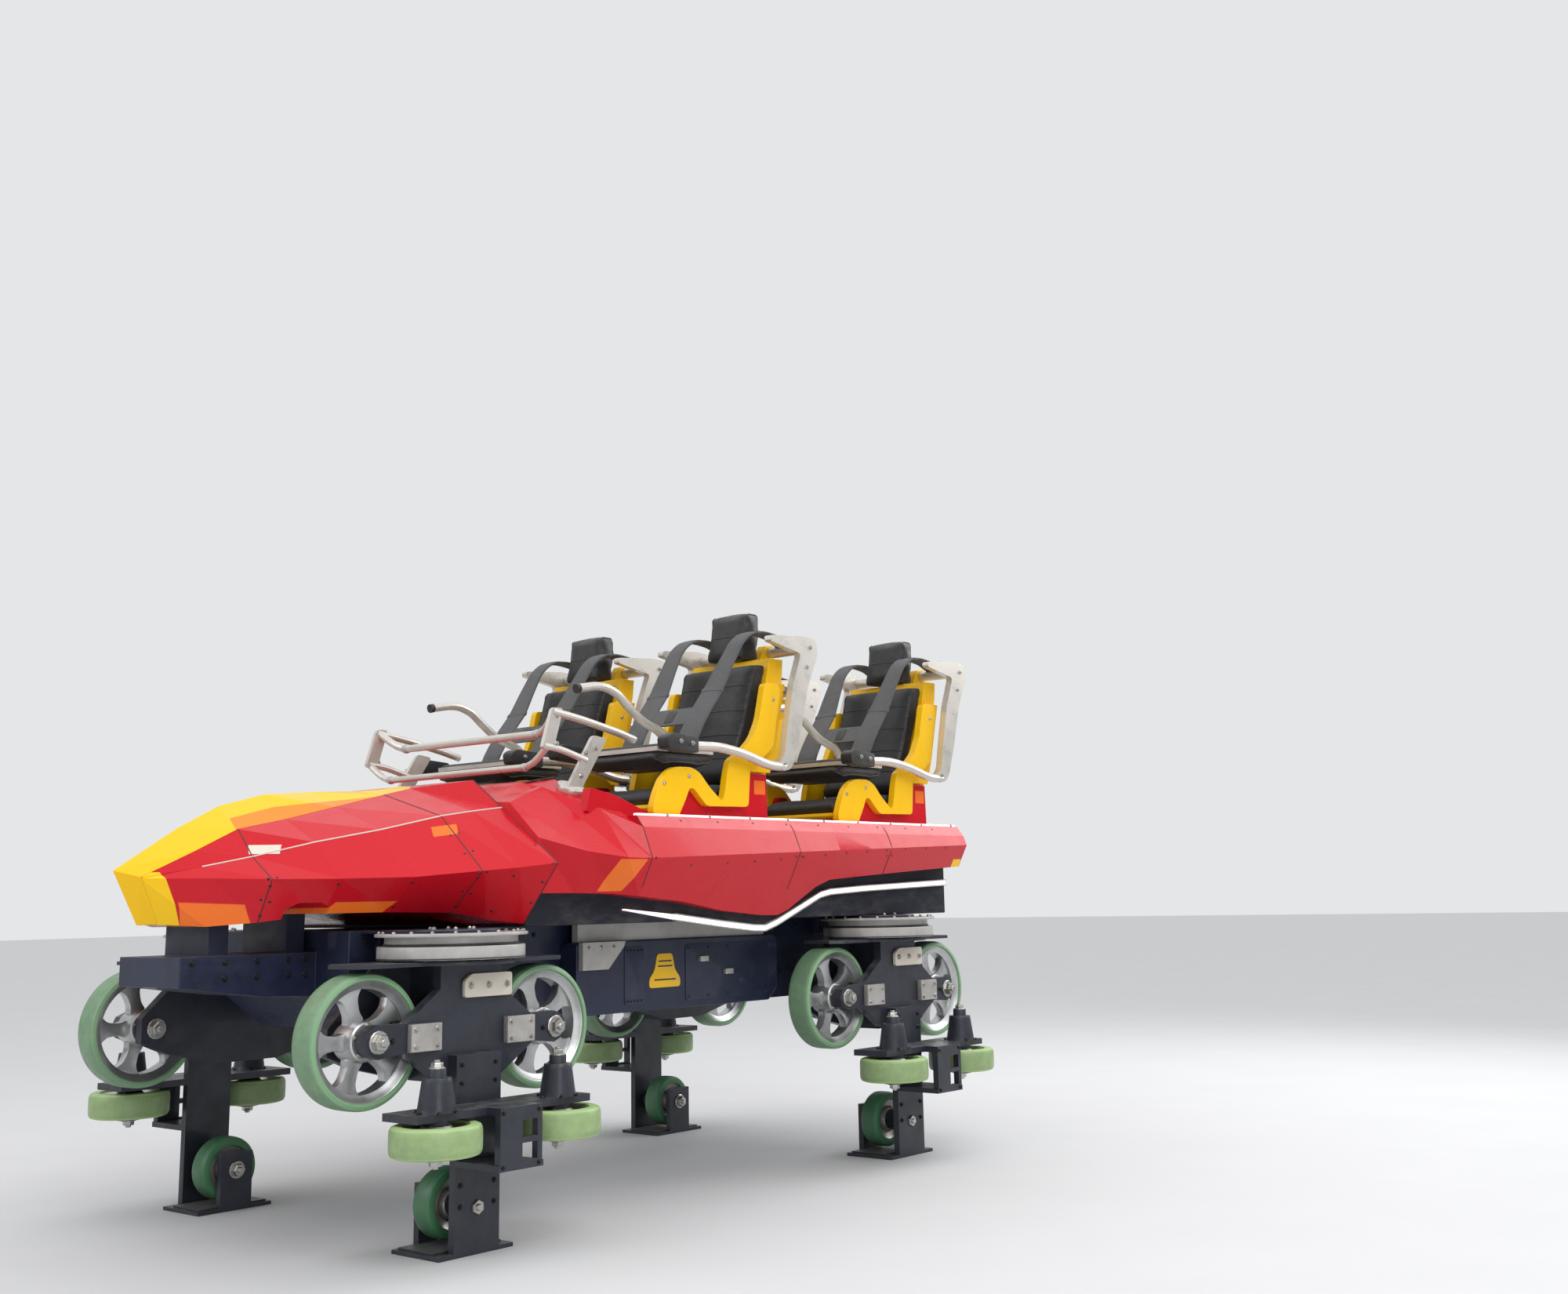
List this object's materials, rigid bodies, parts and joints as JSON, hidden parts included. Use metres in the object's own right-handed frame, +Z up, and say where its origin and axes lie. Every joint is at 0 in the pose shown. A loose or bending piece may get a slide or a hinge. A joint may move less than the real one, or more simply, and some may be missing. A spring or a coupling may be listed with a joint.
{
  "type": "roller coaster car",
  "caption": "Leading roller coaster car with a faceted nose, two rows of seats with overhead restraints, and steered wheel carriers that wrap the rails.",
  "frame": {"origin": "on the floor under the middle of the car's bounding box", "axes": "+X forward to the nose, +Y to the car's left, +Z up"},
  "size_m": [3.7202, 1.924, 2.13],
  "materials": {
    "red_gloss": "gloss",
    "yellow_gloss": "gloss",
    "tub_dark": "satin",
    "navy_steel": "satin",
    "carrier_steel": "satin",
    "ring_steel": "satin",
    "coupler_steel": "satin",
    "cream_paint": "gloss",
    "black_pad": "satin",
    "vest_web": "matte",
    "road_tyre": "satin",
    "stop_tyre": "satin",
    "strip_light": "matte"
  },
  "bodies": {
    "car": {"chassis_frame": "navy_steel", "equipment_boxes": "navy_steel", "side_brackets": "ring_steel", "slewing_rings": "ring_steel", "nose_shell": "red_gloss", "nose_band": "yellow_gloss", "side_panel_left": "red_gloss", "side_panel_right": "red_gloss", "body_tub": "tub_dark", "front_cowl": "red_gloss", "light_strips": "strip_light", "seat_bases": "red_gloss", "grab_rail": "cream_paint", "seat_shells_front": "yellow_gloss", "seat_shells_rear": "yellow_gloss", "seat_pads_front": "black_pad", "seat_pads_rear": "black_pad"},
    "carrier_front_left": {"carrier_front_left": "carrier_steel"},
    "road_wheel_front_left_lead": {"road_wheel_front_left_lead": "road_tyre"},
    "side_wheel_front_left_lead": {"side_wheel_front_left_lead": "road_tyre"},
    "road_wheel_front_left_trail": {"road_wheel_front_left_trail": "road_tyre"},
    "side_wheel_front_left_trail": {"side_wheel_front_left_trail": "road_tyre"},
    "stop_wheel_front_left": {"stop_wheel_front_left": "stop_tyre"},
    "carrier_front_right": {"carrier_front_right": "carrier_steel"},
    "road_wheel_front_right_lead": {"road_wheel_front_right_lead": "road_tyre"},
    "side_wheel_front_right_lead": {"side_wheel_front_right_lead": "road_tyre"},
    "road_wheel_front_right_trail": {"road_wheel_front_right_trail": "road_tyre"},
    "side_wheel_front_right_trail": {"side_wheel_front_right_trail": "road_tyre"},
    "stop_wheel_front_right": {"stop_wheel_front_right": "stop_tyre"},
    "carrier_rear_left": {"carrier_rear_left": "carrier_steel"},
    "road_wheel_rear_left_lead": {"road_wheel_rear_left_lead": "road_tyre"},
    "side_wheel_rear_left_lead": {"side_wheel_rear_left_lead": "road_tyre"},
    "road_wheel_rear_left_trail": {"road_wheel_rear_left_trail": "road_tyre"},
    "side_wheel_rear_left_trail": {"side_wheel_rear_left_trail": "road_tyre"},
    "stop_wheel_rear_left": {"stop_wheel_rear_left": "stop_tyre"},
    "carrier_rear_right": {"carrier_rear_right": "carrier_steel"},
    "road_wheel_rear_right_lead": {"road_wheel_rear_right_lead": "road_tyre"},
    "side_wheel_rear_right_lead": {"side_wheel_rear_right_lead": "road_tyre"},
    "road_wheel_rear_right_trail": {"road_wheel_rear_right_trail": "road_tyre"},
    "side_wheel_rear_right_trail": {"side_wheel_rear_right_trail": "road_tyre"},
    "stop_wheel_rear_right": {"stop_wheel_rear_right": "stop_tyre"},
    "restraint_front_left": {"restraint_front_left": "cream_paint", "lap_pad_front_left": "black_pad", "vest_front_left": "vest_web"},
    "restraint_front_right": {"restraint_front_right": "cream_paint", "lap_pad_front_right": "black_pad", "vest_front_right": "vest_web"},
    "restraint_rear_left": {"restraint_rear_left": "cream_paint", "lap_pad_rear_left": "black_pad", "vest_rear_left": "vest_web"},
    "restraint_rear_right": {"restraint_rear_right": "cream_paint", "lap_pad_rear_right": "black_pad", "vest_rear_right": "vest_web"},
    "drawbar": {"drawbar": "coupler_steel"}
  },
  "joints": [
    {"name": "steer_front_left", "type": "hinge", "parent": "car", "child": "carrier_front_left", "pos_m": [1.07, 0.6, 0.89], "axis": [0, 0, 1], "range_deg": [-8, 8]},
    {"name": "spin_road_front_left_lead", "type": "hinge", "parent": "carrier_front_left", "child": "road_wheel_front_left_lead", "pos_m": [1.41, 0.6, 0.624], "axis": [0, 1, 0], "continuous": true},
    {"name": "spin_side_front_left_lead", "type": "hinge", "parent": "carrier_front_left", "child": "side_wheel_front_left_lead", "pos_m": [1.302, 0.83, 0.355], "axis": [0, 0, 1], "continuous": true},
    {"name": "spin_road_front_left_trail", "type": "hinge", "parent": "carrier_front_left", "child": "road_wheel_front_left_trail", "pos_m": [0.73, 0.6, 0.624], "axis": [0, 1, 0], "continuous": true},
    {"name": "spin_side_front_left_trail", "type": "hinge", "parent": "carrier_front_left", "child": "side_wheel_front_left_trail", "pos_m": [0.838, 0.83, 0.355], "axis": [0, 0, 1], "continuous": true},
    {"name": "spin_stop_front_left", "type": "hinge", "parent": "carrier_front_left", "child": "stop_wheel_front_left", "pos_m": [1.07, 0.6, 0.132], "axis": [0, 1, 0], "continuous": true},
    {"name": "steer_front_right", "type": "hinge", "parent": "car", "child": "carrier_front_right", "pos_m": [1.07, -0.6, 0.89], "axis": [0, 0, 1], "range_deg": [-8, 8]},
    {"name": "spin_road_front_right_lead", "type": "hinge", "parent": "carrier_front_right", "child": "road_wheel_front_right_lead", "pos_m": [1.41, -0.6, 0.624], "axis": [0, 1, 0], "continuous": true},
    {"name": "spin_side_front_right_lead", "type": "hinge", "parent": "carrier_front_right", "child": "side_wheel_front_right_lead", "pos_m": [1.302, -0.83, 0.355], "axis": [0, 0, 1], "continuous": true},
    {"name": "spin_road_front_right_trail", "type": "hinge", "parent": "carrier_front_right", "child": "road_wheel_front_right_trail", "pos_m": [0.73, -0.6, 0.624], "axis": [0, 1, 0], "continuous": true},
    {"name": "spin_side_front_right_trail", "type": "hinge", "parent": "carrier_front_right", "child": "side_wheel_front_right_trail", "pos_m": [0.838, -0.83, 0.355], "axis": [0, 0, 1], "continuous": true},
    {"name": "spin_stop_front_right", "type": "hinge", "parent": "carrier_front_right", "child": "stop_wheel_front_right", "pos_m": [1.07, -0.6, 0.132], "axis": [0, 1, 0], "continuous": true},
    {"name": "steer_rear_left", "type": "hinge", "parent": "car", "child": "carrier_rear_left", "pos_m": [-1.14, 0.6, 0.89], "axis": [0, 0, 1], "range_deg": [-8, 8]},
    {"name": "spin_road_rear_left_lead", "type": "hinge", "parent": "carrier_rear_left", "child": "road_wheel_rear_left_lead", "pos_m": [-0.8, 0.6, 0.624], "axis": [0, 1, 0], "continuous": true},
    {"name": "spin_side_rear_left_lead", "type": "hinge", "parent": "carrier_rear_left", "child": "side_wheel_rear_left_lead", "pos_m": [-0.908, 0.83, 0.355], "axis": [0, 0, 1], "continuous": true},
    {"name": "spin_road_rear_left_trail", "type": "hinge", "parent": "carrier_rear_left", "child": "road_wheel_rear_left_trail", "pos_m": [-1.48, 0.6, 0.624], "axis": [0, 1, 0], "continuous": true},
    {"name": "spin_side_rear_left_trail", "type": "hinge", "parent": "carrier_rear_left", "child": "side_wheel_rear_left_trail", "pos_m": [-1.372, 0.83, 0.355], "axis": [0, 0, 1], "continuous": true},
    {"name": "spin_stop_rear_left", "type": "hinge", "parent": "carrier_rear_left", "child": "stop_wheel_rear_left", "pos_m": [-1.14, 0.6, 0.132], "axis": [0, 1, 0], "continuous": true},
    {"name": "steer_rear_right", "type": "hinge", "parent": "car", "child": "carrier_rear_right", "pos_m": [-1.14, -0.6, 0.89], "axis": [0, 0, 1], "range_deg": [-8, 8]},
    {"name": "spin_road_rear_right_lead", "type": "hinge", "parent": "carrier_rear_right", "child": "road_wheel_rear_right_lead", "pos_m": [-0.8, -0.6, 0.624], "axis": [0, 1, 0], "continuous": true},
    {"name": "spin_side_rear_right_lead", "type": "hinge", "parent": "carrier_rear_right", "child": "side_wheel_rear_right_lead", "pos_m": [-0.908, -0.83, 0.355], "axis": [0, 0, 1], "continuous": true},
    {"name": "spin_road_rear_right_trail", "type": "hinge", "parent": "carrier_rear_right", "child": "road_wheel_rear_right_trail", "pos_m": [-1.48, -0.6, 0.624], "axis": [0, 1, 0], "continuous": true},
    {"name": "spin_side_rear_right_trail", "type": "hinge", "parent": "carrier_rear_right", "child": "side_wheel_rear_right_trail", "pos_m": [-1.372, -0.83, 0.355], "axis": [0, 0, 1], "continuous": true},
    {"name": "spin_stop_rear_right", "type": "hinge", "parent": "carrier_rear_right", "child": "stop_wheel_rear_right", "pos_m": [-1.14, -0.6, 0.132], "axis": [0, 1, 0], "continuous": true},
    {"name": "open_restraint_front_left", "type": "hinge", "parent": "car", "child": "restraint_front_left", "pos_m": [-0.603, 0.41, 1.975], "axis": [0, -1, 0], "range_deg": [0, 105]},
    {"name": "open_restraint_front_right", "type": "hinge", "parent": "car", "child": "restraint_front_right", "pos_m": [-0.603, -0.41, 1.975], "axis": [0, -1, 0], "range_deg": [0, 105]},
    {"name": "open_restraint_rear_left", "type": "hinge", "parent": "car", "child": "restraint_rear_left", "pos_m": [-1.659, 0.41, 1.975], "axis": [0, -1, 0], "range_deg": [0, 105]},
    {"name": "open_restraint_rear_right", "type": "hinge", "parent": "car", "child": "restraint_rear_right", "pos_m": [-1.659, -0.41, 1.975], "axis": [0, -1, 0], "range_deg": [0, 105]},
    {"name": "swing_drawbar", "type": "hinge", "parent": "car", "child": "drawbar", "pos_m": [-1.7, 0, 0.785], "axis": [0, 0, 1], "range_deg": [-15, 15]}
  ]
}
